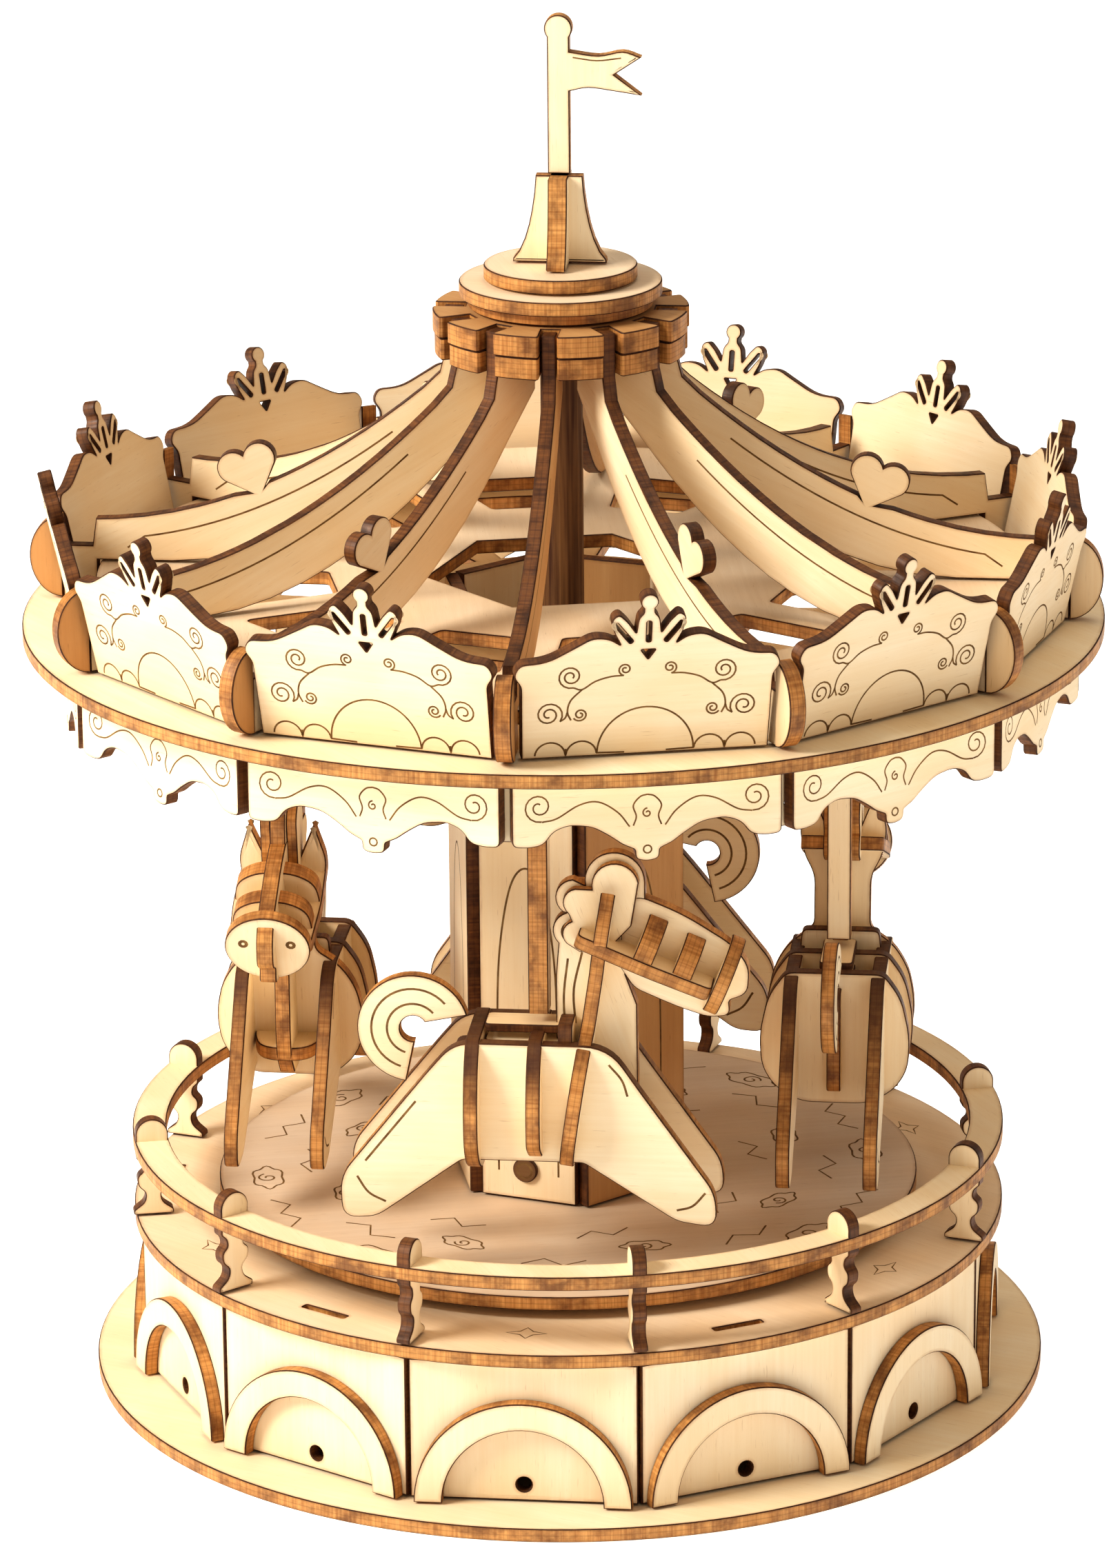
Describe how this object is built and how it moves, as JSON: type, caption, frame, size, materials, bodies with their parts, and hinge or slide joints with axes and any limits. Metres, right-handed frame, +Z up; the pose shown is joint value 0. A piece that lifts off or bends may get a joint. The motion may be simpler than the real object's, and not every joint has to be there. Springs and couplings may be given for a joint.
{
  "type": "model carousel",
  "caption": "Tabletop plywood carousel: horses under a ribbed canopy turn on a round railed base.",
  "frame": {"origin": "on the axis of rotation, at the underside of the base plate", "axes": "+Z up along the axis of rotation, -Y towards the middle of the front drum panel"},
  "size_m": [0.154, 0.154, 0.1999],
  "materials": {
    "plywood": "matte",
    "horse_plywood": "matte",
    "scorched_plywood": "matte",
    "dowel_wood": "matte"
  },
  "bodies": {
    "base": {"base_plate": "plywood", "stage_plate": "plywood", "rail_fence": "plywood", "spindle": "dowel_wood", "bearing_washer": "scorched_plywood", "drum_panel_01": "plywood", "drum_panel_02": "plywood", "drum_panel_03": "plywood", "drum_panel_04": "plywood", "drum_panel_05": "plywood", "drum_panel_06": "plywood", "drum_panel_07": "plywood", "drum_panel_08": "plywood", "drum_panel_09": "plywood", "drum_panel_10": "plywood", "drum_panel_11": "plywood", "drum_panel_12": "plywood"},
    "carousel": {"deck": "plywood", "column": "plywood", "canopy_disc": "plywood", "roof_plate": "plywood", "valance_skirt": "plywood", "mast": "dowel_wood", "hub_ring": "scorched_plywood", "cap_large": "scorched_plywood", "cap_small": "scorched_plywood", "finial": "scorched_plywood", "flag": "plywood", "crown_panel_01": "plywood", "crown_panel_02": "plywood", "crown_panel_03": "plywood", "crown_panel_04": "plywood", "crown_panel_05": "plywood", "crown_panel_06": "plywood", "crown_panel_07": "plywood", "crown_panel_08": "plywood", "crown_panel_09": "plywood", "crown_panel_10": "plywood", "crown_panel_11": "plywood", "crown_panel_12": "plywood", "rib_01": "plywood", "rib_02": "plywood", "rib_03": "plywood", "rib_04": "plywood", "rib_05": "plywood", "rib_06": "plywood", "rib_07": "plywood", "rib_08": "plywood", "rib_09": "plywood", "rib_10": "plywood", "rib_11": "plywood", "rib_12": "plywood", "horse_front": "horse_plywood", "horse_right": "horse_plywood", "horse_back": "horse_plywood", "horse_left": "horse_plywood", "pole_front": "horse_plywood", "pole_right": "horse_plywood", "pole_back": "horse_plywood", "pole_left": "horse_plywood"}
  },
  "joints": [
    {"name": "carousel_spin", "type": "hinge", "parent": "base", "child": "carousel", "pos_m": [0, 0, 0.0269], "axis": [0, 0, 1], "continuous": true}
  ]
}
